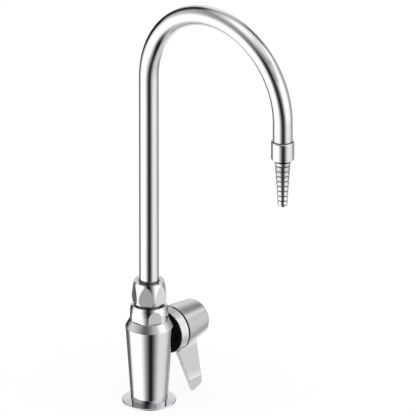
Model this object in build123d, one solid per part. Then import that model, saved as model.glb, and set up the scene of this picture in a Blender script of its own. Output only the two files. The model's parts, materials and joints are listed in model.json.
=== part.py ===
from build123d import *
import math
import os

# Deck-mounted faucet with a swivelling gooseneck, a side handle and a hose nozzle.
# Millimetres. The origin is the centre of the deck face, on the riser's axis.
# +X points to the spout, +Y runs along the handle's axis, +Z is up.

# Fits
thread_clearance = 0.05     # radial, a screwed joint drawn at its crests
running_clearance = 0.05    # radial, a shaft that turns in a bore
film = 0.05                 # between two flat faces that slide on each other
seat_clearance = 0.10       # radial, a piece that drops into its seat
edge_break = 0.4            # small chamfer on turned edges
over = 1.0                  # how far a cutting shape runs past a face
beyond = 99.0               # longer than any piece that a cutting shape has to cross
full_turn = 360.0

# Deck flange and what clamps the faucet to the deck
flange_r = 23.4
flange_t = 2.3              # at the body's foot
flange_rim_t = 1.4          # at the rim, where the low cone of the top ends
flange_land = 0.2           # flat seat left outside the body's foot
gasket_t = 0.6              # rubber ring, let into the flange's underside
gasket_rim = 3.0            # metal left outside the rubber ring
deck_t = 19.0               # the deck that the pieces are drawn clamping
shank_r = 10.3
shank_bore_r = 6.0
shank_engaged = 10.7        # length screwed into the body
pilot_r = 10.45             # plain collar that centres in the deck hole
pilot_length = 6.0
relief_depth = 0.8
relief_length = 2.0
supply_length = 24.0        # free end that takes the supply coupling
washer_r = 19.0
washer_t = 1.6
locknut_flats = 32.0
locknut_h = 8.0
locknut_room = 4.0          # thread left under the nut
shank_lead = 1.0            # chamfer on the shank's free end
corner_break = 0.6          # how far a nut's corners are turned back, against their overhang

# Body
body_foot_r = 15.9
body_shoulder_r = 20.65
body_top_r = 17.0
body_taper_h = 68.7
body_bevel_h = 6.9
base_ring_r = 12.9          # middle of the seal in the body's foot
seal_section = 1.4          # diameter of the rubber in the two face seals
chamber_gap = 2.5           # room over the shank's end
waterway_overlap = 1.0      # how far a drilled waterway cuts into the bore that it meets

# Handle axis and the bonnet ring
handle_drop = 13.2          # axis below the body's shoulder
boss_r = 13.5               # threaded side boss of the body
bonnet_gap = 0.35           # ring's back clear of the body's widest point
bonnet_gasket_t = 1.2
bonnet_gasket_lip = 0.5     # ring metal left outside the black disc
ring_back_r = 19.7
ring_front_r = 20.2
ring_length = 8.7
ring_web_t = 1.2
ring_wall = 2.1
cartridge_nut_flats = 30.0
cartridge_nut_grip = 3.4
cartridge_nut_lip = 2.0
handle_gap = 1.6            # dark gap between the ring and the handle

# Quarter-turn cartridge, measured along the handle's axis from the riser's axis
housing_r = 11.1
housing_wall = 2.4
housing_waist_depth = 1.2
housing_lead = 4.5          # full-size length before the waist
housing_flange_r = 12.6
housing_flange_t = 1.4
neck_r = 7.5
neck_length = 9.0
window_r = 2.2
window_count = 4
window_length = 4.6
seat_r = 5.0
seat_depth = 11.0
inlet_r = 4.5
outlet_r = 3.2
cartridge_seal_t = 1.8
disc_clearance = 0.1
fixed_disc_t = 2.5
moving_disc_t = 2.6
port_r = 2.0
port_circle_r = 4.6
drive_slot_w = 3.0
drive_slot_depth = 1.2
drive_t = 2.5
drive_r = 6.2
tongue_length = 11.2
lug_root = 1.0              # how far the lug and the stop run into what carries them
drive_lug_angle = 60.0
quarter_turn = 90.0
stop_slack = 0.5            # degrees left at each stop
spindle_r = 4.0
journal_r = 4.9
spindle_flats = 6.4
spindle_grip = 10.0         # length held in the handle
spindle_ring_section = 1.1
housing_ring_section = 1.5
clip_t = 0.8
clip_depth = 0.7
clip_height = 1.8
clip_mouth = 5.0

# Lever
hub_back_r = 20.2
hub_front_r = 15.9
hub_length = 31.2
hub_rise = 0.9              # the front circle sits off the axis, away from the blade
hub_edge_r = 3.2
hub_wall = 2.6
hub_crown = 4.0             # metal between the hollow and the screw's seat
hub_boss_r = 7.6            # socket for the spindle, inside the hollow
hub_boss_room = 1.5         # over the spindle's clip
hub_web = 4.0
lever_turn = 18.0           # blade's angle from straight down, towards the spout
blade_t = 4.0
blade_reach = 59.5          # from the axis to the tip's inner corner
blade_slant = 4.1           # how much shorter the outer corner is
blade_root_in = 0.4         # blade's inner edge, in front of the hub's back
blade_root_w = 23.5
blade_heel = 1.8            # how far the blade reaches back past the hub, under the ring
blade_heel_gap = 0.8        # radial, between the ring and the blade's heel
blade_tip_in = 4.7
blade_tip_w = 12.2
blade_tip_r = 2.0
crease_reach = 48.7
crease_rise = 0.6
crease_run = 8.5
crease_sag = 0.3            # share of the lip's rise reached halfway along it
bevel_depth = 2.2
screw_r = 2.0
screw_depth = 6.0
screw_head_r = 3.75
screw_head_h = 2.6
cap_r = 8.4
cap_t = 2.0
cap_sink = 0.4

# Spout adapter and coupling nut
spigot_r = 10.2
passage_r = 6.5
roof = 2.0                  # metal between the cartridge's bore and the socket
adapter_h = 14.2
adapter_low_r = 16.9
adapter_top_r = 15.5
adapter_step_h = 7.1        # height of the straight lower part
adapter_mid_h = 10.4
adapter_mid_r = 16.45
adapter_flats = 31.6
adapter_arch_h = 12.0
adapter_arch_w = 11.9
adapter_arch_rise = 5.6     # height of the arch over its springing
adapter_hip_w = 4.1         # a point on the arch's side, from its middle
adapter_hip_h = 3.5
adapter_flat_count = 6
adapter_ring_r = 12.6
neck_gap = 2.1              # dark thread seen under the nut
thread_r = 11.9
thread_wall = 1.5
neck_relief = 0.5           # depth of the neck's bare groove under the thread
nut_h = 19.6
nut_flats = 27.0
nut_top_r = 13.1
nut_wide_r = 15.1
nut_mid_r = 14.3            # radius halfway up the dome
nut_foot_r = 14.3
nut_dome_h = 13.6
nut_chamfer_h = 3.4
nut_lip_t = 3.0
nut_eye_clearance = 0.6

# Gooseneck
tube_r = 8.57
tube_wall = 1.2
tube_rise = 193.0           # from the nut's top to the start of the bend
bend_r = 76.2
tube_drop = 16.6            # from the end of the bend to the nozzle's collar
ferrule_flange_t = 3.5
ferrule_spigot = 12.5
ferrule_lip = 1.0
ferrule_floor_gap = 1.0
ferrule_edge = 0.55         # flange overlap on the thread's end
swivel_washer_t = 0.8
swivel_ring_section = 1.1
swivel_ring_pitch = 4.2

# Hose nozzle
collar_r = 10.0
collar_h = 16.6
collar_round = 0.9
socket_depth = 13.3
nozzle_washer_t = 1.0
nozzle_bore_r = 3.0
barb_count = 8
barb_pitch = 4.68
barb_first_drop = 6.0       # first groove below the collar
barb_top_r = 7.2
barb_end_r = 4.55
groove_depth = 0.6
groove_back = 0.9           # length of a barb's steep side
nose_r = 3.8
nose_length = 5.4
nose_swell = 0.12           # the nose swells to its full size over its first part
nose_lead = 2.4
collar_break = 0.3
round_cut = 0.3             # share of a rounded corner's size cut off at its middle

# Heights worked out from the sizes above
body_base_z = flange_t
shoulder_z = body_base_z + body_taper_h
body_top_z = shoulder_z + body_bevel_h
handle_z = shoulder_z - handle_drop
cavity_r = housing_r + seat_clearance
socket_floor_z = handle_z + cavity_r + roof
shank_top_z = body_base_z + shank_engaged
washer_top_z = -deck_t
locknut_top_z = washer_top_z - washer_t
relief_top_z = locknut_top_z - locknut_h - locknut_room
supply_top_z = relief_top_z - relief_length
shank_end_z = supply_top_z - supply_length
collar_top_z = body_top_z + adapter_h
nut_z = collar_top_z + neck_gap
nut_top_z = nut_z + nut_h
lip_z = nut_top_z - nut_lip_t
swivel_washer_z = lip_z - film - swivel_washer_t
ferrule_top_z = swivel_washer_z - film
ferrule_flange_z = ferrule_top_z - ferrule_flange_t
thread_top_z = ferrule_flange_z - film
ferrule_end_z = ferrule_flange_z - ferrule_spigot
thread_bore_floor_z = ferrule_end_z - ferrule_floor_gap
tube_foot_z = ferrule_end_z + ferrule_lip
bend_z = nut_top_z + tube_rise
nozzle_x = 2 * bend_r
nozzle_top_z = bend_z - tube_drop
tube_end_z = nozzle_top_z - socket_depth
nozzle_step_z = nozzle_top_z - collar_h
nozzle_end_z = nozzle_step_z - barb_first_drop - (barb_count - 1) * barb_pitch - nose_length

# Places along the handle's axis
bonnet_w = body_shoulder_r + bonnet_gap
web_w = bonnet_w + bonnet_gasket_t
cartridge_nut_w = web_w + ring_web_t
boss_end_w = cartridge_nut_w + cartridge_nut_grip
neck_w = boss_end_w + housing_flange_t
cartridge_nut_end_w = neck_w + cartridge_nut_lip
neck_end_w = neck_w + neck_length
ring_end_w = bonnet_w + ring_length
hub_w = ring_end_w + handle_gap
hub_end_w = hub_w + hub_length
fixed_disc_w = cartridge_seal_t
moving_disc_w = fixed_disc_w + fixed_disc_t + film
drive_w = moving_disc_w + moving_disc_t + film
drive_end_w = drive_w + drive_t
chamber_end_w = drive_end_w + window_length
cap_w = hub_end_w - cap_sink - cap_t
screw_seat_w = cap_w - screw_head_h - seat_clearance
spindle_end_w = screw_seat_w - hub_web
chamber_r = housing_r - housing_wall

handle_frame = Plane(origin=(0, 0, handle_z), x_dir=(1, 0, 0), z_dir=(0, 1, 0))
upward = (Align.CENTER, Align.CENTER, Align.MIN)


def turned(points):
    """Solid turned about Z from a closed outline of (radius, height) points."""
    outline = Polyline(*[(r, 0, z) for r, z in points], close=True)
    return revolve(make_face(outline.edges()), Axis.Z)


def rod(radius, low, high):
    """Round bar along Z between two heights."""
    return Pos(0, 0, low) * Cylinder(radius, high - low, align=upward)


def tube(outer, inner, low, high):
    """Round ring or sleeve along Z between two heights."""
    return rod(outer, low, high) - rod(inner, low - over, high + over)


def hexagon(flats, low, high, turn=0):
    """Six-sided bar along Z, with one flat facing +X when it isn't turned."""
    outline = RegularPolygon(flats / 2, 6, major_radius=False, rotation=30 + turn)
    return Pos(0, 0, low) * extrude(outline, high - low)


def hex_nut(flats, bore, low, high):
    """Plain hexagonal nut with both outer edges turned back."""
    corner = flats / math.sqrt(3)
    back = (corner - flats / 2) * corner_break
    blank = turned([(0, low), (flats / 2, low), (corner, low + back), (corner, high - back),
                    (flats / 2, high), (0, high)])
    return (blank & hexagon(flats, low, high)) - rod(bore, low - over, high + over)


def rubber_ring(middle_r, section, height):
    """Round-section sealing ring about Z."""
    return Pos(0, 0, height) * Torus(middle_r, section / 2)


def on_handle_axis(shape):
    """Turns a shape made along Z to lie along the handle's axis."""
    return handle_frame.location * shape


# Under the deck

def deck_flange():
    """Round plate with a low conical top, recessed underneath for the rubber ring."""
    plate = turned([(0, 0), (flange_r - edge_break / 2, 0), (flange_r, edge_break / 2),
                    (flange_r, flange_rim_t - edge_break), (flange_r - edge_break, flange_rim_t),
                    (body_foot_r + flange_land, flange_t), (0, flange_t)])
    recess = rod(flange_r - gasket_rim, -over, gasket_t)
    return plate - recess - rod(pilot_r + seat_clearance, -over, flange_t + over)


def deck_gasket():
    """Rubber ring in the flange's recess."""
    return tube(flange_r - gasket_rim - seat_clearance, pilot_r + seat_clearance, 0, gasket_t)


def mounting_shank():
    """Hollow shank with a pilot collar, a relief groove and a chamfered end."""
    low = shank_r - relief_depth
    outline = [(shank_bore_r, shank_end_z), (shank_r - shank_lead, shank_end_z),
               (shank_r, shank_end_z + shank_lead),
               (shank_r, supply_top_z), (low, supply_top_z), (low, relief_top_z), (shank_r, relief_top_z),
               (shank_r, -pilot_length), (pilot_r, -pilot_length), (pilot_r, body_base_z),
               (shank_r, body_base_z), (shank_r, shank_top_z), (shank_bore_r, shank_top_z)]
    return turned(outline)


def underdeck_washer():
    """Flat washer against the deck's underside."""
    return tube(washer_r, pilot_r + seat_clearance, locknut_top_z, washer_top_z)


def shank_locknut():
    """Hexagonal nut that clamps the washer."""
    return hex_nut(locknut_flats, shank_r + thread_clearance, locknut_top_z - locknut_h, locknut_top_z)


# Body

def face_groove(middle_r, section, low, high):
    """Square groove that holds a face seal."""
    half = section / 2 + film
    return tube(middle_r + half, middle_r - half, low, high)


def valve_body():
    """Tapered body with its side boss, shank socket, cartridge bore and waterways."""
    shell = turned([(0, body_base_z), (body_foot_r, body_base_z), (body_shoulder_r, shoulder_z),
                    (body_top_r, body_top_z - edge_break / 2), (body_top_r - edge_break / 2, body_top_z),
                    (0, body_top_z)])
    shell += on_handle_axis(rod(boss_r, 0, boss_end_w))
    shank_socket = rod(shank_r + thread_clearance, body_base_z - over, shank_top_z + chamber_gap)
    adapter_socket = rod(spigot_r + thread_clearance, socket_floor_z, body_top_z + over)
    inlet_back = seat_depth - inlet_r - waterway_overlap
    inlet = Pos(0, -inlet_back, 0) * rod(inlet_r, shank_top_z, handle_z)
    outlet_ahead = housing_lead + outlet_r - waterway_overlap
    outlet = Pos(0, outlet_ahead, 0) * rod(outlet_r, handle_z, socket_floor_z + over)
    bore = on_handle_axis(rod(cavity_r, 0, boss_end_w + over))
    seat = on_handle_axis(rod(seat_r, -seat_depth, over))
    groove_top_z = body_base_z + seal_section
    seal_groove = face_groove(base_ring_r, seal_section, body_base_z - over, groove_top_z)
    return shell - [shank_socket, adapter_socket, inlet, outlet, bore, seat, seal_groove]


def base_o_ring():
    """Seal in the body's foot, on the flange."""
    return rubber_ring(base_ring_r, seal_section, body_base_z + seal_section / 2)


# Bonnet: black disc, satin ring and the nut that holds the cartridge

def bonnet_gasket():
    """Black disc that fills the ring's back."""
    outer = ring_back_r - bonnet_gasket_lip - seat_clearance
    return on_handle_axis(tube(outer, boss_r + seat_clearance, bonnet_w, web_w))


def bonnet_ring():
    """Satin ring with a web clamped behind the nut."""
    seat = ring_back_r - bonnet_gasket_lip
    wall = edge_break
    outline = [(boss_r + seat_clearance, web_w), (seat, web_w), (seat, bonnet_w),
               (ring_back_r - wall / 2, bonnet_w), (ring_back_r, bonnet_w + wall / 2),
               (ring_front_r, ring_end_w - wall), (ring_front_r - wall, ring_end_w),
               (ring_front_r - ring_wall, ring_end_w), (ring_front_r - ring_wall, cartridge_nut_w),
               (boss_r + seat_clearance, cartridge_nut_w)]
    return on_handle_axis(turned(outline))


def cartridge_nut():
    """Cap nut on the boss, over the housing's flange."""
    nut = hex_nut(cartridge_nut_flats, neck_r + seat_clearance, cartridge_nut_w, cartridge_nut_end_w)
    nut -= rod(boss_r + thread_clearance, cartridge_nut_w - over, neck_w)
    return on_handle_axis(nut)


# Cartridge

def sector(outer, inner, low, high, start, sweep):
    """Part of a ring about Z that starts at an angle and covers a sweep, in degrees."""
    ring = tube(outer, inner, low, high)
    reach = outer * 4
    spread = [start + sweep * k / 4 for k in range(5)]
    rim = [(reach * math.cos(math.radians(a)), reach * math.sin(math.radians(a))) for a in spread]
    wedge = make_face(Polyline((0, 0), *rim, close=True).edges())
    return ring & (Pos(0, 0, low) * extrude(wedge, high - low))


def cartridge_housing():
    """Brass sleeve with a waist, windows, a seal groove, a stop and the spindle's neck."""
    waist_r = housing_r - housing_waist_depth
    ring_w = (chamber_end_w + boss_end_w) / 2
    half = housing_ring_section / 2 + film
    groove_r = housing_r - housing_ring_section
    outline = [(0, film), (housing_r, film), (housing_r, housing_lead), (waist_r, housing_lead),
               (waist_r, chamber_end_w), (housing_r, chamber_end_w), (housing_r, ring_w - half),
               (groove_r, ring_w - half), (groove_r, ring_w + half), (housing_r, ring_w + half),
               (housing_r, boss_end_w), (housing_flange_r, boss_end_w), (housing_flange_r, neck_w),
               (neck_r, neck_w), (neck_r, neck_end_w), (0, neck_end_w)]
    sleeve = turned(outline) - rod(chamber_r, -over, chamber_end_w)
    sleeve -= rod(spindle_r + running_clearance, 0, neck_end_w + over)
    window_w = (drive_end_w + chamber_end_w) / 2
    drill = Pos(0, 0, window_w) * Rot(0, 90, 0) * rod(window_r, 0, housing_r + over)
    for index in range(window_count):
        sleeve -= Rot(0, 0, index * full_turn / window_count) * drill
    free = drive_lug_angle + quarter_turn + 2 * stop_slack
    start = 90 + drive_lug_angle / 2 + stop_slack
    stop = sector(chamber_r + lug_root, drive_r + running_clearance, drive_w, drive_end_w, start,
                  full_turn - free)
    return on_handle_axis(sleeve + stop)


def ceramic_disc(low, high, turn, radius):
    """Round disc with two ports on opposite sides."""
    disc = rod(radius, low, high)
    for side in (0, 180):
        disc -= Rot(0, 0, side + turn) * Pos(port_circle_r, 0, 0) * rod(port_r, low - over, high + over)
    return disc


def fixed_disc():
    """Lower ceramic disc, held still in the housing."""
    disc = ceramic_disc(fixed_disc_w, fixed_disc_w + fixed_disc_t, 90, chamber_r - disc_clearance)
    return on_handle_axis(disc)


def moving_disc():
    """Upper ceramic disc, with a slot for the spindle's tongue."""
    high = moving_disc_w + moving_disc_t
    disc = ceramic_disc(moving_disc_w, high, 0, chamber_r - disc_clearance)
    slot = Pos(0, 0, high - drive_slot_depth) * Box(drive_slot_w, 4 * chamber_r, 2 * drive_slot_depth,
                                                    align=upward)
    return on_handle_axis(disc - slot)


def cartridge_seal():
    """Rubber ring between the cavity's floor and the fixed disc."""
    return on_handle_axis(tube(chamber_r - disc_clearance, seat_r + seat_clearance, 0, fixed_disc_w))


def cartridge_o_ring():
    """Seal round the housing."""
    middle = housing_r - housing_ring_section / 2
    return on_handle_axis(rubber_ring(middle, housing_ring_section, (chamber_end_w + boss_end_w) / 2))


def flatted(shape, flats, low, high):
    """Cuts two opposite flats on a shaft between two heights."""
    return shape & (Pos(0, 0, low) * Box(flats, beyond, high - low, align=upward))


def cartridge_spindle():
    """Shaft with its drive tongue, stop lug, journal, grooves and flatted end."""
    grip_w = spindle_end_w - spindle_grip
    ring_w = (neck_w + neck_end_w) / 2
    half = spindle_ring_section / 2 + film
    groove_r = spindle_r - spindle_ring_section
    clip_w = neck_end_w + film
    clip_r = spindle_r - clip_depth
    outline = [(0, drive_w), (drive_r, drive_w), (drive_r, drive_end_w), (journal_r, drive_end_w),
               (journal_r, chamber_end_w - film), (spindle_r, chamber_end_w - film),
               (spindle_r, ring_w - half), (groove_r, ring_w - half), (groove_r, ring_w + half),
               (spindle_r, ring_w + half), (spindle_r, clip_w), (clip_r, clip_w),
               (clip_r, clip_w + clip_t), (spindle_r, clip_w + clip_t), (spindle_r, grip_w), (0, grip_w)]
    shaft = turned(outline)
    lug_r = chamber_r - disc_clearance
    lug_start = 90 - drive_lug_angle / 2
    shaft += sector(lug_r, drive_r - lug_root, drive_w, drive_end_w, lug_start, drive_lug_angle)
    tongue_h = drive_slot_depth
    shaft += Pos(0, 0, drive_w - tongue_h) * Box(drive_slot_w - 2 * film, tongue_length,
                                                 tongue_h + film, align=upward)
    shaft += flatted(rod(spindle_r, grip_w, spindle_end_w), spindle_flats, grip_w, spindle_end_w)
    shaft -= rod(screw_r + thread_clearance, spindle_end_w - screw_depth - over, spindle_end_w + over)
    return on_handle_axis(shaft)


def spindle_o_ring():
    """Seal round the spindle, in the housing's neck."""
    middle = spindle_r - spindle_ring_section / 2
    return on_handle_axis(rubber_ring(middle, spindle_ring_section, (neck_w + neck_end_w) / 2))


def spindle_clip():
    """Open spring clip in the spindle's groove, over the neck's end."""
    low = neck_end_w + film
    inner = spindle_r - clip_depth
    ring = tube(spindle_r + clip_height, inner, low, low + clip_t)
    mouth = Pos(0, 0, low - over) * Box(clip_mouth, beyond, clip_t + 2 * over,
                                        align=(Align.CENTER, Align.MIN, Align.MIN))
    return on_handle_axis(ring - mouth)


# Handle

def blade():
    """Flat blade with a heel under the ring, a slight lip at the crease and a bevelled tip, along +Y."""
    half = blade_t / 2
    inner_w = hub_w + blade_root_in
    tip_w = hub_w + blade_tip_in
    root = hub_back_r / 2
    heel = max(ring_back_r, ring_front_r, hub_back_r) + blade_heel_gap
    corners = [(root, inner_w), (heel, inner_w), (heel, hub_w - blade_heel), (blade_reach, tip_w),
               (blade_reach - blade_slant, tip_w + blade_tip_w), (root, inner_w + blade_root_w)]
    outline = make_face(Polyline(*corners, close=True).edges())
    tips = outline.vertices().filter_by(lambda v: v.X > heel + over)
    outline = fillet(tips, blade_tip_r)
    plate = Plane.YZ * extrude(outline, 4 * blade_t, both=True)
    start = crease_reach - crease_run
    middle = (start + crease_reach) / 2
    end = blade_reach + over
    face = half + crease_rise
    section = [Line((-half, 0), (half, 0)), Line((half, 0), (half, start)),
               ThreePointArc((half, start), (half + crease_rise * crease_sag, middle), (face, crease_reach)),
               Line((face, crease_reach), (face - bevel_depth, end)),
               Line((face - bevel_depth, end), (-half, end)), Line((-half, end), (-half, 0))]
    profile = make_face(section)
    return plate & extrude(profile, hub_end_w)


def handle_lever():
    """Conical hub with its blade, hollow at the back and socketed for the spindle."""
    back = Pos(0, 0, hub_w) * Circle(hub_back_r)
    front = Pos(0, -hub_rise, hub_end_w) * Circle(hub_front_r)
    hub = loft([back, front])
    hub = fillet(hub.edges().sort_by(Axis.Z)[-1], hub_edge_r)
    hub = chamfer(hub.edges().sort_by(Axis.Z)[0], edge_break / 2)
    lever = Rot(0, 0, -lever_turn) * (hub + blade())
    crown_w = screw_seat_w - hub_crown
    grip_w = spindle_end_w - spindle_grip
    hollow_r = hub_back_r - hub_wall
    lever -= turned([(0, hub_w - over), (hollow_r, hub_w - over), (hollow_r, hub_w),
                     (hub_front_r - hub_wall, crown_w), (0, crown_w)])
    lever += rod(hub_boss_r, neck_end_w + clip_t + hub_boss_room, crown_w + over)
    lever -= rod(spindle_r + thread_clearance, hub_w, grip_w + film)
    socket = rod(spindle_r + thread_clearance, hub_w, spindle_end_w + film)
    lever -= flatted(socket, spindle_flats + 2 * thread_clearance, hub_w, hub_end_w)
    lever -= rod(screw_r + seat_clearance, spindle_end_w, hub_end_w)
    lever -= rod(screw_head_r + seat_clearance, screw_seat_w, hub_end_w)
    lever -= rod(cap_r + seat_clearance, cap_w, hub_end_w + over)
    return on_handle_axis(lever)


def handle_screw():
    """Cap screw that holds the handle on the spindle."""
    head_top_w = screw_seat_w + screw_head_h
    head = rod(screw_head_r, screw_seat_w, head_top_w)
    recess = hexagon(screw_head_r, screw_seat_w + screw_head_h / 2, head_top_w + over)
    return on_handle_axis(head + rod(screw_r, spindle_end_w - screw_depth, screw_seat_w) - recess)


def handle_cap():
    """Plain round button over the screw, a little domed."""
    high = cap_w + cap_t
    return on_handle_axis(turned([(0, cap_w), (cap_r, cap_w), (cap_r, high - edge_break),
                                  (cap_r - edge_break, high), (0, high)]))


# Spout adapter and coupling nut

def arched_flat(turn):
    """Cutter for one wrench flat with an arched top."""
    half = adapter_arch_w / 2
    low = body_top_z - over
    top = body_top_z + adapter_arch_h
    spring = top - adapter_arch_rise
    hip = spring + adapter_hip_h
    shape = [Line((-half, low), (half, low)), Line((half, low), (half, spring)),
             ThreePointArc((half, spring), (adapter_hip_w, hip), (0, top)),
             ThreePointArc((0, top), (-adapter_hip_w, hip), (-half, spring)),
             Line((-half, spring), (-half, low))]
    cutter = Plane.YZ * extrude(make_face(shape), adapter_low_r)
    return Rot(0, 0, turn) * Pos(adapter_flats / 2, 0, 0) * cutter


def spout_adapter():
    """Collar with six arched flats, a spigot below and a threaded neck above."""
    spigot_z = socket_floor_z + film
    step_z = body_top_z + adapter_step_h
    mid_z = body_top_z + adapter_mid_h
    bore_r = thread_r - thread_wall
    cut = edge_break / 2
    collar = turned([(0, spigot_z), (spigot_r, spigot_z), (spigot_r, body_top_z),
                     (adapter_low_r - cut, body_top_z), (adapter_low_r, body_top_z + cut),
                     (adapter_low_r, step_z), (adapter_mid_r, mid_z),
                     (adapter_top_r, collar_top_z), (thread_r - neck_relief, collar_top_z),
                     (thread_r - neck_relief, nut_z - film), (thread_r, nut_z + edge_break),
                     (thread_r, thread_top_z), (0, thread_top_z)])
    step = full_turn / adapter_flat_count
    for index in range(adapter_flat_count):
        collar -= arched_flat(step / 2 + step * index)
    collar -= rod(passage_r, spigot_z - over, thread_top_z + over)
    collar -= rod(bore_r, thread_bore_floor_z, thread_top_z + over)
    return collar - face_groove(adapter_ring_r, seal_section, body_top_z - over, body_top_z + seal_section)


def adapter_o_ring():
    """Face seal between the adapter and the body."""
    return rubber_ring(adapter_ring_r, seal_section, body_top_z + seal_section / 2)


def coupling_nut():
    """Nut with a turned, domed outline, six flats and a lip over the ferrule."""
    dome_z = nut_top_z - nut_dome_h
    foot_z = nut_z + nut_chamfer_h
    blank = [Line((0, nut_z), (nut_foot_r, nut_z)), Line((nut_foot_r, nut_z), (nut_wide_r, foot_z)),
             Line((nut_wide_r, foot_z), (nut_wide_r, dome_z)),
             ThreePointArc((nut_wide_r, dome_z), (nut_mid_r, (dome_z + nut_top_z) / 2),
                           (nut_top_r, nut_top_z)),
             Line((nut_top_r, nut_top_z), (0, nut_top_z)), Line((0, nut_top_z), (0, nut_z))]
    nut = revolve(Plane.XZ * make_face(blank), Axis.Z) & hexagon(nut_flats, nut_z, nut_top_z)
    nut -= rod(thread_r + thread_clearance, nut_z - over, lip_z)
    return nut - rod(tube_r + nut_eye_clearance, nut_z, nut_top_z + over)


def swivel_washer():
    """Slip washer under the nut's lip."""
    outer = thread_r - seat_clearance
    return tube(outer, tube_r + nut_eye_clearance, swivel_washer_z, swivel_washer_z + swivel_washer_t)


# Gooseneck

def gooseneck_tube():
    """Tube up the riser, round a half turn and down to the nozzle."""
    up = Line((0, 0, tube_foot_z), (0, 0, bend_z))
    bend = ThreePointArc((0, 0, bend_z), (bend_r, 0, bend_z + bend_r), (nozzle_x, 0, bend_z))
    down = Line((nozzle_x, 0, bend_z), (nozzle_x, 0, tube_end_z))
    path = Wire([up, bend, down])
    foot = Pos(0, 0, tube_foot_z)
    outside = sweep(foot * Circle(tube_r), path)
    inside = sweep(foot * Circle(tube_r - tube_wall), path)
    return outside - inside


def swivel_ferrule():
    """Ferrule on the tube's foot, flanged at the top and grooved for two seals."""
    spigot = thread_r - thread_wall - running_clearance
    outline = [(tube_r - tube_wall, ferrule_end_z), (spigot, ferrule_end_z)]
    for height in swivel_ring_heights():
        half = swivel_ring_section / 2 + film
        floor_r = spigot - swivel_ring_section
        outline += [(spigot, height - half), (floor_r, height - half), (floor_r, height + half),
                    (spigot, height + half)]
    flange = spigot + running_clearance + ferrule_edge
    outline += [(spigot, ferrule_flange_z), (flange, ferrule_flange_z), (flange, ferrule_top_z),
                (tube_r, ferrule_top_z), (tube_r, tube_foot_z), (tube_r - tube_wall, tube_foot_z)]
    return turned(outline)


def swivel_ring_heights():
    """Heights of the two seals, spaced about the middle of the spigot."""
    middle = (ferrule_end_z + ferrule_flange_z) / 2
    return [middle - swivel_ring_pitch / 2, middle + swivel_ring_pitch / 2]


def swivel_o_rings():
    """Two seals round the ferrule."""
    middle = thread_r - thread_wall - running_clearance - swivel_ring_section / 2
    return Compound([rubber_ring(middle, swivel_ring_section, z) for z in swivel_ring_heights()])


# Hose nozzle

def barb_radius(height):
    """Radius over the barbs at a height, narrowing steadily downwards."""
    low = nozzle_end_z + nose_length
    share = (height - low) / (nozzle_step_z - low)
    return barb_end_r + share * (barb_top_r - barb_end_r)


def serrated_nozzle():
    """Collar and a row of barbs in one turned piece, bored through."""
    outline = [(nozzle_bore_r, nozzle_end_z), (nose_r, nozzle_end_z),
               (barb_end_r - nose_swell, nozzle_end_z + nose_lead),
               (barb_end_r, nozzle_end_z + nose_length / 2)]
    for index in reversed(range(barb_count)):
        groove_z = nozzle_step_z - barb_first_drop - index * barb_pitch
        crest_r = barb_radius(groove_z)
        outline += [(crest_r - groove_depth, groove_z), (crest_r, groove_z + groove_back)]
    socket_floor_z = tube_end_z - nozzle_washer_t
    cut = collar_round * round_cut
    outline += [(barb_top_r, nozzle_step_z), (collar_r - collar_break, nozzle_step_z),
                (collar_r, nozzle_step_z + collar_break), (collar_r, nozzle_top_z - collar_round),
                (collar_r - cut, nozzle_top_z - cut), (collar_r - collar_round, nozzle_top_z),
                (tube_r, nozzle_top_z), (tube_r, socket_floor_z), (nozzle_bore_r, socket_floor_z)]
    return Pos(nozzle_x, 0, 0) * turned(outline)


def nozzle_washer():
    """Flat seal between the tube's end and the nozzle."""
    return Pos(nozzle_x, 0, 0) * tube(tube_r - seat_clearance, nozzle_bore_r + seat_clearance,
                                      tube_end_z - nozzle_washer_t, tube_end_z)


pieces = [deck_flange, deck_gasket, mounting_shank, underdeck_washer, shank_locknut, valve_body,
          base_o_ring, bonnet_gasket, bonnet_ring, cartridge_nut, cartridge_housing, fixed_disc,
          moving_disc, cartridge_seal, cartridge_o_ring, cartridge_spindle, spindle_o_ring,
          spindle_clip, handle_lever, handle_screw, handle_cap, spout_adapter, adapter_o_ring,
          coupling_nut, swivel_washer, gooseneck_tube, swivel_ferrule, swivel_o_rings,
          serrated_nozzle, nozzle_washer]

os.makedirs("parts", exist_ok=True)
for piece in pieces:
    export_step(piece(), "parts/" + piece.__name__ + ".step")
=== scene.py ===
# %% [markdown]
# A laboratory faucet for a worktop: a bent chrome tube on a turned body, with a satin lever at its side.
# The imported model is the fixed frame. It says where every piece is, in metres, and nothing here moves it.
# Its meshes are fine enough for a mirror finish, so this notebook adds no shapes to the faucet. It gives
# each piece the finish of its real material, and sets up a pale worktop and a studio to be mirrored.

# %% Load the frame
import json
import math

import bpy
import numpy as np
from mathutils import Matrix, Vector


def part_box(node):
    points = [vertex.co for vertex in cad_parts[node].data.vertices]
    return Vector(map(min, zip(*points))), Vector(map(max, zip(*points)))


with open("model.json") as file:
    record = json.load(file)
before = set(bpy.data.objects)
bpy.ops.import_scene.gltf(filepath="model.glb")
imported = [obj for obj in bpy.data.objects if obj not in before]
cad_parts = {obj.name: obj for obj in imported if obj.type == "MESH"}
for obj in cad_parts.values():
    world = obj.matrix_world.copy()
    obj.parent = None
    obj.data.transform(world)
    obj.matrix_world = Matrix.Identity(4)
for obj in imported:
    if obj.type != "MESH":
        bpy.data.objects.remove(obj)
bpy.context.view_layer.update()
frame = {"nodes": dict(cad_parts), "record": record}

mm = 0.001
nodes = frame["nodes"]

# %% [markdown]
# Colours are easiest to choose as the hex values of a screen, which are sRGB. A renderer adds light, so it
# needs linear values, and one function does that for every colour in this file. A second one adds a shader
# node with its settings and links, because a material or a sky is mostly a list of such nodes.

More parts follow.
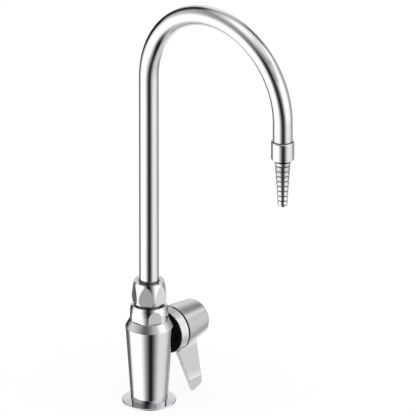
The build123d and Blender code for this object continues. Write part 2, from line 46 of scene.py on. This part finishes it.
# %% Colours and shader nodes
def linear(colour):
    """Linear RGBA of an sRGB hex value: a channel is divided by 12.92 under 0.04045, and above it gets a
    power of 2.4."""
    channels = [int(colour[k:k + 2], 16) / 255 for k in (1, 3, 5)]
    return [c / 12.92 if c <= 0.04045 else ((c + 0.055) / 1.055) ** 2.4 for c in channels] + [1.0]


def add(tree, kind, inputs=None, **settings):
    """Adds one node, sets its properties, and fills each input with a value or a link from a socket."""
    made = tree.nodes.new(kind)
    for name, value in settings.items():
        setattr(made, name, value)
    for name, value in (inputs or {}).items():
        if isinstance(value, bpy.types.NodeSocket):
            tree.links.new(value, made.inputs[name])
        else:
            made.inputs[name].default_value = value
    return made


print("middle grey on a screen is", round(linear("#808080")[0], 3), "of white's light")

# %% [markdown]
# The photograph was taken from far away with a long lens, so parallel edges stay parallel. The camera
# stands 41 degrees round from the front, towards the spout, and looks down by 24 degrees. An orthographic
# camera would look much the same, but a long lens also frames the object when the camera moves round it.

# %% Camera
camera_azimuth = math.radians(40.94)
camera_elevation = math.radians(24.12)
picture_width = 361.3 * mm
lens_mm, sensor_mm = 1700.0, 36.0
sight = 60                                      # metres that the camera can see, well past the worktop
picture_centre = (51.0 * mm, 166.4 * mm)        # across and up from the deck's centre, in the picture

across = Vector((math.cos(camera_azimuth), math.sin(camera_azimuth), 0))
away = Vector((-math.sin(camera_azimuth), math.cos(camera_azimuth), 0))
towards = -away * math.cos(camera_elevation) + Vector((0, 0, math.sin(camera_elevation)))
upwards = away * math.sin(camera_elevation) + Vector((0, 0, math.cos(camera_elevation)))

camera = bpy.data.objects.new("camera", bpy.data.cameras.new("camera"))
bpy.context.scene.collection.objects.link(camera)
camera.data.lens = lens_mm
camera.data.sensor_width = sensor_mm
camera.data.clip_end = sight
target = across * picture_centre[0] + upwards * picture_centre[1]
camera.location = target + towards * (picture_width * lens_mm / sensor_mm)
camera.rotation_mode = "QUATERNION"
camera.rotation_quaternion = (-towards).to_track_quat("-Z", "Y")
bpy.context.scene.camera = camera
bpy.context.scene.view_settings.view_transform = "Standard"
print("camera at", [round(v, 2) for v in camera.location])

# %% [markdown]
# Chrome has hardly any look of its own: it shows the room. In a studio the room is a grey tent with large
# white soft boxes and a few dark cards, and the dark line down the middle of every chrome tube is one of
# those cards. Lamps and real boards would get in the way of other views, so here the tent is the world's
# colour, worked out from the direction that a reflected ray takes. First come the wall, whose grey depends
# on height, and the way one soft-edged card is painted over it.

# %% The wall and one card
wall_greys = [(-90, "#B9B9B9"), (-60, "#BCBCBC"), (-45, "#C8C8C8"), (-25, "#BEBEBE"), (-10, "#ACACAC"),
              (20, "#ACACAC"), (35, "#989898"), (45, "#868686"), (57, "#B0B0B0"), (67, "#D0D0D0"),
              (78, "#F8F8F8"), (90, "#FFFFFF")]
half_turn = 180.0                               # degrees, and also the heights from -90 to 90


def stops(ramp, pairs):
    """Fills a colour ramp from (position, hex colour) pairs."""
    first, last = pairs[0], pairs[-1]
    ramp.elements[0].position, ramp.elements[0].color = first[0], linear(first[1])
    ramp.elements[1].position, ramp.elements[1].color = last[0], linear(last[1])
    for position, colour in pairs[1:-1]:
        ramp.elements.new(position).color = linear(colour)


def overlap(tree, first, *others):
    """Product of shares, so 1 only where all of them are 1. A plain number among them thins it out."""
    for other in others:
        first = add(tree, "ShaderNodeMath", {0: first, 1: other}, operation="MULTIPLY").outputs[0]
    return first


def soft_patch(tree, offset, half, fade):
    """1 within half of the middle, then a smooth fall to 0 over the fade, all in degrees."""
    distance = add(tree, "ShaderNodeMath", {0: offset}, operation="ABSOLUTE").outputs[0]
    return add(tree, "ShaderNodeMapRange", {0: distance, 1: half, 2: half + fade, 3: 1.0, 4: 0.0},
               interpolation_type="SMOOTHSTEP").outputs[0]


def hang(tree, room, azimuth, height, card):
    """Paints one card over the room's colour. Its middle, half size and fade are in degrees, and its lean
    says how far the middle moves round for each degree up."""
    (middle_azimuth, middle_height), (half_width, half_height), (fade_width, fade_height), grey, lean = card
    up = add(tree, "ShaderNodeMath", {0: height, 1: middle_height}, operation="SUBTRACT").outputs[0]
    leant = add(tree, "ShaderNodeMath", {0: up, 1: lean, 2: middle_azimuth}, operation="MULTIPLY_ADD")
    past = add(tree, "ShaderNodeMath", {0: azimuth, 1: leant.outputs[0]}, operation="SUBTRACT").outputs[0]
    past = add(tree, "ShaderNodeMath", {0: past, 1: half_turn, 2: -half_turn}, operation="WRAP").outputs[0]
    cover = overlap(tree, soft_patch(tree, past, half_width, fade_width),
                    soft_patch(tree, up, half_height, fade_height))
    return add(tree, "ShaderNodeMix", {0: cover, 6: room, 7: linear(grey)}, data_type="RGBA").outputs[2]


print("the wall has", len(wall_greys), "greys")

# %% [markdown]
# The world's shader puts them together. It finds the azimuth and height of the ray, hangs the cards on the
# wall, and asks Light Path what kind of ray it is: rays that don't come from a mirror see plain white. Real
# chrome gives back about 63 percent of the light, so for mirrors the tent is brighter than white. A soft
# box then still looks white in the metal, and a reflection of a reflection is grey, as on the real flange.

# %% The studio tent
def studio(cards, box_strength):
    """World shader: white to the camera, a tent with cards to mirrors, and even white light to the rest.
    Azimuth is 0 on the camera's own side and grows towards the right of the picture."""
    world = bpy.data.worlds.new("studio_tent")
    world.use_nodes = True
    bpy.context.scene.world = world
    tree = world.node_tree
    tree.nodes.clear()
    ray = add(tree, "ShaderNodeTexCoord").outputs["Generated"]
    side = add(tree, "ShaderNodeVectorMath", {0: ray, 1: across}, operation="DOT_PRODUCT").outputs["Value"]
    front = add(tree, "ShaderNodeVectorMath", {0: ray, 1: -away}, operation="DOT_PRODUCT").outputs["Value"]
    angle = add(tree, "ShaderNodeMath", {0: side, 1: front}, operation="ARCTAN2").outputs[0]
    azimuth = add(tree, "ShaderNodeMath", {0: angle}, operation="DEGREES").outputs[0]
    rise = add(tree, "ShaderNodeSeparateXYZ", {0: ray}).outputs["Z"]
    angle = add(tree, "ShaderNodeMath", {0: rise}, operation="ARCSINE").outputs[0]
    height = add(tree, "ShaderNodeMath", {0: angle}, operation="DEGREES").outputs[0]
    horizon = 0.5                               # a ramp runs from 0 to 1, and the horizon is half-way up
    place = add(tree, "ShaderNodeMath", {0: height, 1: 1 / half_turn, 2: horizon}, operation="MULTIPLY_ADD")
    wall = add(tree, "ShaderNodeValToRGB", {0: place.outputs[0]})
    stops(wall.color_ramp, [(degrees / half_turn + horizon, grey) for degrees, grey in wall_greys])
    room = wall.outputs[0]
    for card in cards:
        room = hang(tree, room, azimuth, height, card)
    mirrored = add(tree, "ShaderNodeLightPath").outputs["Is Glossy Ray"]
    colour = add(tree, "ShaderNodeMix", {0: mirrored, 6: linear("#FFFFFF"), 7: room}, data_type="RGBA")
    strength = add(tree, "ShaderNodeMath", {0: mirrored, 1: box_strength - 1.0, 2: 1.0},
                   operation="MULTIPLY_ADD")
    background = add(tree, "ShaderNodeBackground", {"Color": colour.outputs[2],
                                                    "Strength": strength.outputs[0]})
    add(tree, "ShaderNodeOutputWorld", {"Surface": background.outputs[0]})


# %% [markdown]
# The cards hang one over another, and the first is at the back of the pile. Each has its middle (azimuth,
# height), its half width and half height, how far its edges fade, its grey, and its lean. An upright tube
# mirrors mostly what hangs under the horizon, the bevel what is near it, and the arch also what is above.

# %% The cards
left_box = ((-72, -19), (18, 16), (46, 30), "#FFFFFF", 0.2)
right_box = ((64, 6), (10, 12), (46, 38), "#FFFFFF", 0.0)
high_box = ((102, 38), (10, 4), (26, 18), "#FFFFFF", 0.0)
roof_edge = ((90, 58), (26, 4), (54, 12), "#DADADA", 0.0)
back_wall = ((168, 2), (16, 20), (24, 30), "#D8D8D8", 0.0)
back_floor = ((156, -46), (18, 10), (22, 12), "#DCDCDC", 0.0)
grey_screen = ((139, -5), (6, 28), (24, 18), "#8C8C8C", 0.3)
black_flag = ((141, 32), (8, 3), (13, 9), "#2C2C2C", 0.0)
stand = ((-147, 14), (5, 22), (24, 14), "#161616", 0.0)
stand_foot = ((-163, -20), (21, 7), (28, 11), "#383838", 0.6)
stand_side = ((-138, -25), (6, 6), (28, 10), "#5C5C5C", 0.0)
stand_joint = ((-142, -6), (10, 5), (22, 8), "#161616", 0.0)
high_lip = ((34, 30), (6, 4), (20, 8), "#AAAAAA", 0.0)
table_edge = ((-6, -66), (12, 3), (70, 20), "#2E2E2E", 0.0)
dark_card = ((3.6, -20), (0, 47), (52, 22), "#121212", -0.42)
pile = [left_box, right_box, high_box, roof_edge, back_wall, back_floor, grey_screen, black_flag,
        stand, stand_foot, stand_side, stand_joint, high_lip, table_edge, dark_card]
studio(pile, box_strength=1.65)
print(len(pile), "cards in the tent")

# %% [markdown]
# The floor is the worktop that the flange stands on. It is pale and matt, so that it only takes the soft
# shadow under the flange. Mirrors don't see it: on the real tube the card shows down to the foot. A flat
# grid is enough, and it is wide, so that no view from the side finds its end.

# %% Worktop
def surface(name, points):
    """Mesh of a grid of points (rows, columns, xyz): four neighbours in the grid make one quad."""
    rows, columns, _ = points.shape
    index = np.arange(rows * columns).reshape(rows, columns)
    corners = [index[:-1, :-1], index[:-1, 1:], index[1:, 1:], index[1:, :-1]]
    quads = np.stack(corners, axis=-1).reshape(-1, 4)
    mesh = bpy.data.meshes.new(name)
    mesh.from_pydata(points.reshape(-1, 3).tolist(), [], quads.tolist())
    mesh.validate()
    mesh.polygons.foreach_set("use_smooth", np.ones(len(mesh.polygons), dtype=bool))
    piece = bpy.data.objects.new(name, mesh)
    bpy.context.scene.collection.objects.link(piece)
    print(name, len(mesh.polygons), "faces")
    return piece


def sheet_of(name, half, steps):
    """Flat square grid at height zero: x and y run evenly from minus half to plus half, in metres."""
    line = np.linspace(-half, half, steps)
    x, y = np.meshgrid(line, line)
    return surface(name, np.stack([x, y, np.zeros_like(x)], axis=-1))


worktop = sheet_of("worktop", half=6.0, steps=13)
worktop.visible_glossy = False

# %% [markdown]
# White laminate is paper in clear resin, pressed against a matt plate. It spreads light evenly and has
# no highlight of its own. Its shadows would look heavier than in the photograph, so to the camera alone
# most of it is plain white.

# %% Laminate
def laminate(name, rough, shown_white):
    """Matt white board. To the camera alone, a share of it is plain white, so that only a faint shadow
    stays."""
    material = bpy.data.materials.new(name)
    material.use_nodes = True
    tree = material.node_tree
    shader = tree.nodes["Principled BSDF"]
    shader.inputs["Base Color"].default_value = linear("#FFFFFF")
    shader.inputs["Roughness"].default_value = rough
    shader.inputs["Specular IOR Level"].default_value = 0.0
    seen = add(tree, "ShaderNodeLightPath").outputs["Is Camera Ray"]
    share = overlap(tree, seen, shown_white)
    glow = add(tree, "ShaderNodeEmission", {"Color": linear("#FFFFFF"), "Strength": 1.0}).outputs[0]
    both = add(tree, "ShaderNodeMixShader", {0: share, 1: shader.outputs[0], 2: glow}).outputs[0]
    tree.links.new(both, tree.nodes["Material Output"].inputs["Surface"])
    return material


worktop.data.materials.append(laminate("white_laminate_worktop", rough=0.9, shown_white=0.85))
print("the worktop is", worktop.data.materials[0].name)

# %% [markdown]
# Most of the faucet is brass, plated with nickel and a thin layer of chrome and then polished. It is a
# near-perfect mirror with a faint haze, and its slow ripples come from the polishing wheel. The colour is
# darker wherever other metal stands close by: painted shade in the corners. A metal's colour is the light
# that it gives back head-on, and its IOR stays at the default.

# %% Metals
# near-black of the painted shade in corners
corner_shade = "#161617"
corner_shut, corner_clear = 0.15, 0.70          # open shares at which a corner gets full painted shade, and none
noise_low, noise_high = 0.3, 0.7                # a noise texture rarely leaves these values


def crevice(tree, reach_mm):
    """0 deep in a groove or corner, where shade is painted, and 1 in the open, by how much lies in reach.
    """
    light = add(tree, "ShaderNodeAmbientOcclusion", {"Distance": reach_mm * mm}, samples=8)
    return add(tree, "ShaderNodeMapRange", {0: light.outputs["AO"], 1: corner_shut, 2: corner_clear},
               interpolation_type="SMOOTHSTEP").outputs[0]


def metal(name, colour, rough, haze_mm, ripple_mm, ripple_um, reach_mm, grain=(1, 1, 1)):
    """Metal with a hazy mirror: noise moves the roughness between two values, and a second noise lifts the
    surface by some micrometres. Sizes are the patterns' real sizes in millimetres. The grain multiplies the
    coordinates, so a small number draws both patterns out that way. Corners within reach get painted shade."""
    material = bpy.data.materials.new(name)
    material.use_nodes = True
    tree = material.node_tree
    shader = tree.nodes["Principled BSDF"]
    shader.inputs["Metallic"].default_value = 1.0
    # painted shade: the colour goes dark in corners where other metal stands close
    tones = add(tree, "ShaderNodeMix", {0: crevice(tree, reach_mm), 6: linear(corner_shade),
                                        7: linear(colour)}, data_type="RGBA")
    tree.links.new(tones.outputs[2], shader.inputs["Base Color"])
    place = add(tree, "ShaderNodeTexCoord").outputs["Object"]
    along = add(tree, "ShaderNodeMapping", {"Vector": place, "Scale": grain}).outputs[0]
    haze = add(tree, "ShaderNodeTexNoise", {"Vector": along, "Scale": 1000 / haze_mm, "Detail": 3.0})
    spread = add(tree, "ShaderNodeMapRange", {0: haze.outputs[0], 1: noise_low, 2: noise_high,
                                              3: rough[0], 4: rough[1]})
    tree.links.new(spread.outputs[0], shader.inputs["Roughness"])
    wave = add(tree, "ShaderNodeTexNoise", {"Vector": along, "Scale": 1000 / ripple_mm, "Detail": 2.0})
    bump = add(tree, "ShaderNodeBump", {"Height": wave.outputs[0], "Distance": ripple_um * 1e-6,
                                        "Strength": 1.0})
    tree.links.new(bump.outputs[0], shader.inputs["Normal"])
    return material


# %% [markdown]
# Three metals are made from it. Polished chrome is sharp and faintly blue. Turned brass is warm, with rings
# from the lathe that blur its highlights. Zinc-plated steel is a dull grey with a coarser mottle. Lathe
# rings are a tenth of a millimetre apart, too fine for this picture, and are drawn about 0.4 mm apart. The
# brass and the steel are inside or under the deck, where they show only when the faucet is taken apart.

# %% Chrome, brass and steel
def chrome(name, colour="#D0D1D3", reach_mm=2.2):
    """Polished chrome plate: haze 5 mm across, ripples 9 mm apart and 2 micrometres high."""
    return metal(name, colour, rough=(0.015, 0.035), haze_mm=5.0, ripple_mm=9.0, ripple_um=2.0,
                 reach_mm=reach_mm)


turned_brass = metal("turned_brass", "#A8874B", rough=(0.22, 0.34), haze_mm=2.0, ripple_mm=1.5,
                     ripple_um=5.0, reach_mm=2.0, grain=(1, 1, 4))
plated_steel = metal("zinc_plated_steel", "#96989D", rough=(0.28, 0.42), haze_mm=3.0, ripple_mm=2.0,
                     ripple_um=6.0, reach_mm=2.0)
print("made", turned_brass.name, "and", plated_steel.name)

# %% [markdown]
# Some places need more than the corner rule. Dark lines are painted at the tube's two ends, under and over
# the nut, at the adapter's joint and in the nozzle's grooves: painted shade in most places, and dark seams
# at the joints. Each is a band of heights or radii in the metal's own material, so that it stays put when
# the gooseneck turns.

# %% Bands and where they lie
# near-black and dull, for painted shade and for the dark joints
shade_and_joint_black, shade_and_joint_rough = "#060607", 0.5
far = 1.0                                       # metres, past the end of anything here


def spot(tree):
    """Object coordinates of the shaded point, as three separate sockets."""
    place = add(tree, "ShaderNodeTexCoord").outputs["Object"]
    return add(tree, "ShaderNodeSeparateXYZ", {0: place}).outputs


def distance_from(tree, first, second, centre=(0.0, 0.0)):
    """How far a point is from an axis: the length of the two offsets taken as one flat arrow."""
    flat = add(tree, "ShaderNodeCombineXYZ", {0: first, 1: second}).outputs[0]
    return add(tree, "ShaderNodeVectorMath", {0: flat, 1: (*centre, 0.0)},
               operation="DISTANCE").outputs["Value"]


def band(tree, value, low, high, soft):
    """1 between low and high, and a straight fall to 0 over soft outside them."""
    rise = add(tree, "ShaderNodeMapRange", {0: value, 1: low - soft, 2: low}).outputs[0]
    fall = add(tree, "ShaderNodeMapRange", {0: value, 1: high, 2: high + soft, 3: 1.0, 4: 0.0}).outputs[0]
    return overlap(tree, rise, fall)


def rework(material, name, share, other):
    """Changes a shader input of the material to another number or colour wherever share is 1."""
    tree = material.node_tree
    socket = tree.nodes["Principled BSDF"].inputs[name]
    plain = socket.links[0].from_socket if socket.links else socket.default_value
    if isinstance(other, list):
        blend = add(tree, "ShaderNodeMix", {0: share, 6: plain, 7: other}, data_type="RGBA").outputs[2]
    else:
        blend = add(tree, "ShaderNodeMix", {0: share, 2: plain, 3: other}, data_type="FLOAT").outputs[0]
    tree.links.new(blend, socket)


def blacken(material, share, depth=1.0):
    """Darkens to near-black and a dull surface, or a part of the way there: painted shade, and dark joints.
    """
    share = overlap(material.node_tree, share, depth)
    rework(material, "Base Color", share, linear(shade_and_joint_black))
    rework(material, "Roughness", share, shade_and_joint_rough)


(_, _, nut_foot), (_, _, nut_top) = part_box("coupling_nut")
nozzle_low, nozzle_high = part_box("serrated_nozzle")
body_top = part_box("valve_body")[1][2]
print("nut from", round(nut_foot / mm, 1), "to", round(nut_top / mm, 1), "mm")
print("body to", round(body_top / mm, 1), "mm")

# %% [markdown]
# The tube leaves the nut through a hole with a little play, and it is brazed into the nozzle's collar. Both
# places are dark rings on the tube: the first is painted shadow in the play round it, the second the seam
# of the brazed joint. Each has its rise over the nut or collar, its fade, and how dark it is.

# %% The tube's two ends
foot_rise, foot_fade, foot_depth = 0.9 * mm, 0.8 * mm, 0.65
seam_rise, seam_fade, seam_depth = 0.6 * mm, 0.6 * mm, 0.8
outlet_margin, outlet_fade = 1.0 * mm, 0.5 * mm         # only the outlet's end of the tube has the seam

tube_chrome = chrome("polished_chrome_tube")
tree = tube_chrome.node_tree
x, _, height = spot(tree)
# painted shadow round the tube's foot, in the play over the nut
blacken(tube_chrome, band(tree, height, -far, nut_top + foot_rise, foot_fade), foot_depth)
at_outlet = band(tree, x, nozzle_low[0] - outlet_margin, far, outlet_fade)
at_seam = band(tree, height, -far, nozzle_high[2] + seam_rise, seam_fade)
blacken(tube_chrome, overlap(tree, at_outlet, at_seam), seam_depth)
print("seam at", round(nozzle_high[2] / mm, 1), "mm")

# %% [markdown]
# The nut's underside gets painted shade, and its top is drawn a little darker than its sides. Under it
# the adapter shows 2 mm of thread, dark with painted shade, and a thin black line closes the joint between
# the adapter and the body.

# %% The nut and the adapter
under_rise, under_fade, under_depth = 0.1 * mm, 0.2 * mm, 0.35
over_drop, over_fade, over_depth = 0.1 * mm, 0.5 * mm, 0.25
thread_height, thread_radius, thread_depth = 2.1 * mm, 13.2 * mm, 0.45
thread_edge, shoulder_fade = 0.05 * mm, 0.2 * mm
joint_rise, joint_fade = 0.25 * mm, 0.25 * mm

nut_chrome = chrome("polished_chrome_nut")
tree = nut_chrome.node_tree
height = spot(tree)["Z"]
# painted shade on the nut's underside
blacken(nut_chrome, band(tree, height, -far, nut_foot + under_rise, under_fade), under_depth)
blacken(nut_chrome, band(tree, height, nut_top - over_drop, far, over_fade), over_depth)

adapter_chrome = chrome("polished_chrome_adapter")
tree = adapter_chrome.node_tree
x, y, height = spot(tree)
high = band(tree, height, nut_foot - thread_height - thread_edge, far, thread_edge)
within = band(tree, distance_from(tree, x, y), -far, thread_radius, shoulder_fade)
# painted shade on the thread and the adapter's top under the nut
blacken(adapter_chrome, overlap(tree, high, within), thread_depth)
blacken(adapter_chrome, band(tree, height, -far, body_top + joint_rise, joint_fade))
print("thread from", round((nut_foot - thread_height) / mm, 1), "mm")

# %% [markdown]
# The nozzle's eight barbs repeat every 4.68 mm under its collar. Each groove is painted dark as shade, and
# the barbs get darker and duller the higher they are. The depth under the first groove, divided by the
# pitch and wrapped to half a pitch on each side, says how far a point is from its groove. The collar's
# underside, all but its rim, and the top of the stem under it lie in shade and are black.

# %% The nozzle's grooves
collar_height, first_groove, barb_pitch = 16.6 * mm, 6.0 * mm, 4.68 * mm
groove_above, groove_below, groove_fade = -0.10, 0.03, 0.10     # in pitches, downwards
stem_lead, stem_length, stem_fade = 0.3 * barb_pitch, 7.6 * barb_pitch, 0.1 * mm
upward_dark_depth = 0.32
rim_radius, rim_fade, rim_drop, rim_soft = 8.4 * mm, 0.2 * mm, 2.2 * mm, 0.8 * mm
collar_foot = nozzle_high[2] - collar_height
groove_height = collar_foot - first_groove
stem_top = groove_height + stem_lead
stem_end = stem_top - stem_length
nozzle_axis = [(nozzle_low[k] + nozzle_high[k]) / 2 for k in (0, 1)]

barb_chrome = chrome("polished_chrome_barbs")
tree = barb_chrome.node_tree
x, y, height = spot(tree)
below = add(tree, "ShaderNodeMath", {0: groove_height, 1: height}, operation="SUBTRACT").outputs[0]
turns = add(tree, "ShaderNodeMath", {0: below, 1: barb_pitch}, operation="DIVIDE").outputs[0]
phase = add(tree, "ShaderNodeMath", {0: turns, 1: 0.5, 2: -0.5}, operation="WRAP").outputs[0]
groove = band(tree, phase, groove_above, groove_below, groove_fade)
# painted shade in each groove
blacken(barb_chrome, overlap(tree, groove, band(tree, height, stem_end, stem_top, stem_fade)))
upward_dark = add(tree, "ShaderNodeMapRange", {0: height, 1: stem_end, 2: stem_top}).outputs[0]
blacken(barb_chrome, overlap(tree, upward_dark, band(tree, height, -far, stem_top, stem_fade)), upward_dark_depth)
under = band(tree, height, collar_foot - rim_drop, collar_foot, rim_soft)
within = band(tree, distance_from(tree, x, y, nozzle_axis), -far, rim_radius, rim_fade)
blacken(barb_chrome, overlap(tree, under, within))
print("nozzle collar's foot at", round(collar_foot / mm, 2), "mm")

# %% [markdown]
# The body's bevel still carries the lathe's marks under its chrome, so it is duller than the rest and shows
# the soft boxes as a glow. The flange's chrome is a little greyer, and only its tightest corner is dark.

# %% The body's bevel and the flange
bevel_height, bevel_fade, bevel_rough = 6.9 * mm, 0.2 * mm, 0.24

body_chrome = chrome("polished_chrome_body")
tree = body_chrome.node_tree
on_bevel = band(tree, spot(tree)["Z"], body_top - bevel_height, body_top, bevel_fade)
rework(body_chrome, "Roughness", on_bevel, bevel_rough)

flange_chrome = chrome("polished_chrome_flange", "#C8C8CA", reach_mm=0.8)
print("bevel from", round((body_top - bevel_height) / mm, 1), "mm")

# %% [markdown]
# The lever, its ring and its cap are castings, brushed while they turned and then plated with satin chrome.
# A brushed groove blurs a reflection across itself and keeps it sharp along itself. The shader's
# Anisotropic setting does this, with the tangent along the blurred way. The grooves run round the handle's
# axis, so the tangent follows the axis on a wall, and points outwards on an end face, which has rings.

# %% Brushed metal
end_face_from = 0.85                            # faces within about 32 degrees of square to the axis


def facing_y(tree):
    """The Y part of the way the surface faces: 1 or -1 on a face that is square to the handle's axis."""
    facing = add(tree, "ShaderNodeTexCoord").outputs["Normal"]
    return add(tree, "ShaderNodeSeparateXYZ", {0: facing}).outputs["Y"]


def brush(material, centre_height, strength):
    """Grooves that run round the handle's axis, which lies along Y at one height. They spread a reflection
    across themselves: along the axis on a wall that runs round it, and outwards on an end face."""
    tree = material.node_tree
    shader = tree.nodes["Principled BSDF"]
    shader.inputs["Anisotropic"].default_value = strength
    x, _, height = spot(tree)
    up = add(tree, "ShaderNodeMath", {0: height, 1: centre_height}, operation="SUBTRACT").outputs[0]
    outwards = add(tree, "ShaderNodeCombineXYZ", {"X": x, "Z": up}).outputs[0]
    square = add(tree, "ShaderNodeMath", {0: facing_y(tree)}, operation="ABSOLUTE").outputs[0]
    end_face = add(tree, "ShaderNodeMath", {0: square, 1: end_face_from}, operation="GREATER_THAN")
    blurred = add(tree, "ShaderNodeMix", {0: end_face.outputs[0], 4: (0.0, 1.0, 0.0), 5: outwards},
                  data_type="VECTOR").outputs[1]
    turned = add(tree, "ShaderNodeVectorTransform", {"Vector": blurred}, vector_type="VECTOR",
                 convert_from="OBJECT", convert_to="WORLD").outputs[0]
    tree.links.new(turned, shader.inputs["Tangent"])


joints = frame["record"]["behaviour"]["joints"]
handle_height = next(joint["pos_m"][2] for joint in joints if joint["name"] == "handle_turn")
print("handle axis at", round(handle_height / mm, 2), "mm")

# %% [markdown]
# Satin chrome is a soft grey mirror. Brush marks are a few hundredths of a millimetre apart, too fine for
# this picture, so they are drawn 0.35 mm apart and twenty times as long. They give the hub and the ring
# their streaked grey, and a highlight that runs out to both sides.

# %% Satin chrome
satin_chrome = metal("satin_chrome_casting", "#CCCCCE", rough=(0.22, 0.27), haze_mm=1.2, ripple_mm=0.35,
                     ripple_um=0.6, reach_mm=2.5, grain=(0.05, 1, 0.05))
brush(satin_chrome, handle_height, strength=0.9)
print("brushed", satin_chrome.name)

# %% [markdown]
# The blade is flat, so the brush ran over it less evenly: it is rougher and a little darker than the hub.
# Just above the crease at its tip a bright lip is painted as a highlight. Its narrow edge towards the body
# is drawn pale and nearly matt, a painted reflection, because as a mirror it would show only the dark side
# of the tent. The distance from the handle's axis tells the blade from the hub, and the distance along the
# lever, which hangs 18 degrees from straight down, finds the crease.

# %% The lever's blade
hub_radius, hub_fade = 21.4 * mm, 0.8 * mm
blade_rough, blade_share = 0.34, 0.2
lever_turn, crease_reach, crease_run, crease_fade = math.radians(18.0), 48.7 * mm, 8.5 * mm, 0.1 * mm
lip_highlight_share = 0.45
edge_facing, edge_fade, edge_rough, edge_share = 0.9, 0.1, 0.75, 0.6

tree = satin_chrome.node_tree
x, _, height = spot(tree)
on_blade = band(tree, distance_from(tree, x, height, (0.0, handle_height)), hub_radius, far, hub_fade)
backwards = add(tree, "ShaderNodeMath", {0: facing_y(tree), 1: -1.0}, operation="MULTIPLY").outputs[0]
matt = overlap(tree, band(tree, backwards, edge_facing, far, edge_fade), on_blade)
drop = add(tree, "ShaderNodeMath", {0: handle_height, 1: height}, operation="SUBTRACT").outputs[0]
down = add(tree, "ShaderNodeMath", {0: drop, 1: math.cos(lever_turn)}, operation="MULTIPLY").outputs[0]
along = add(tree, "ShaderNodeMath", {0: x, 1: math.sin(lever_turn), 2: down},
            operation="MULTIPLY_ADD").outputs[0]
lip = add(tree, "ShaderNodeMapRange", {0: along, 1: crease_reach - crease_run, 2: crease_reach}).outputs[0]
before = band(tree, along, -far, crease_reach, crease_fade)
lip_highlight = overlap(tree, lip, lip, before, on_blade)

rework(satin_chrome, "Roughness", on_blade, blade_rough)
rework(satin_chrome, "Base Color", overlap(tree, on_blade, blade_share), linear("#808082"))
# painted highlight: a bright lip just above the crease
rework(satin_chrome, "Base Color", overlap(tree, lip_highlight, lip_highlight_share), linear("#FFFFFF"))
# painted reflection: the edge towards the body is pale and nearly matt
rework(satin_chrome, "Base Color", overlap(tree, matt, edge_share), linear("#FFFFFF"))
rework(satin_chrome, "Roughness", matt, edge_rough)
rework(satin_chrome, "Metallic", matt, 0.0)
print("crease", round(crease_reach / mm, 1), "mm from the handle's axis")

# %% [markdown]
# The rest is small. The seals and the disc behind the ring are moulded nitrile rubber, black and dull with
# a faint grain. The valve's discs are alumina, a white ceramic lapped so flat that it shines softly. The
# slip washer is natural nylon, creamy and waxy. Each is a fine mottle of two tones.

# %% Rubber, ceramic and nylon
def moulded(name, colour, shade, rough, grain_mm, grain_um, shine=0.5):
    """Moulded or lapped material: a fine noise mottles two tones, and lifts the surface a little."""
    material = bpy.data.materials.new(name)
    material.use_nodes = True
    tree = material.node_tree
    shader = tree.nodes["Principled BSDF"]
    shader.inputs["Roughness"].default_value = rough
    shader.inputs["Specular IOR Level"].default_value = shine
    place = add(tree, "ShaderNodeTexCoord").outputs["Object"]
    grain = add(tree, "ShaderNodeTexNoise", {"Vector": place, "Scale": 1000 / grain_mm, "Detail": 4.0})
    tones = add(tree, "ShaderNodeMix", {0: grain.outputs[0], 6: linear(colour), 7: linear(shade)},
                data_type="RGBA")
    tree.links.new(tones.outputs[2], shader.inputs["Base Color"])
    bump = add(tree, "ShaderNodeBump", {"Height": grain.outputs[0], "Distance": grain_um * 1e-6,
                                        "Strength": 1.0})
    tree.links.new(bump.outputs[0], shader.inputs["Normal"])
    return material


black_rubber = moulded("black_nitrile_rubber", "#020203", "#0A0A0B", rough=0.6, grain_mm=0.8, grain_um=20,
                       shine=0.12)
alumina = moulded("lapped_alumina", "#ECE8DC", "#E2DDCF", rough=0.22, grain_mm=0.5, grain_um=3)
nylon = moulded("natural_nylon", "#E9E6D8", "#DDD9C8", rough=0.45, grain_mm=1.5, grain_um=8)
print("made", black_rubber.name + ",", alumina.name, "and", nylon.name)

# %% [markdown]
# The record names a material slot for each piece, and the slot says what the piece is made of. The six
# chromed pieces each have a chrome of their own, because their dark places differ. All the others take the
# finish of their slot. The meshes themselves stay as they came.

# %% Materials on the CAD nodes
of_node = {
    "valve_body": body_chrome, "deck_flange": flange_chrome, "serrated_nozzle": barb_chrome,
    "gooseneck_tube": tube_chrome, "coupling_nut": nut_chrome, "spout_adapter": adapter_chrome,
}
of_slot = {
    "satin_chrome": satin_chrome, "black_rubber": black_rubber, "brass": turned_brass,
    "steel": plated_steel, "ceramic": alumina, "nylon": nylon,
}
for entry in frame["record"]["subparts"]:
    mesh = nodes[entry["node"]].data
    mesh.materials.clear()
    mesh.materials.append(of_node.get(entry["node"]) or of_slot[entry["material_slot"]])
print(len(of_node), "pieces have their own chrome, and", len(nodes) - len(of_node), "share a finish")
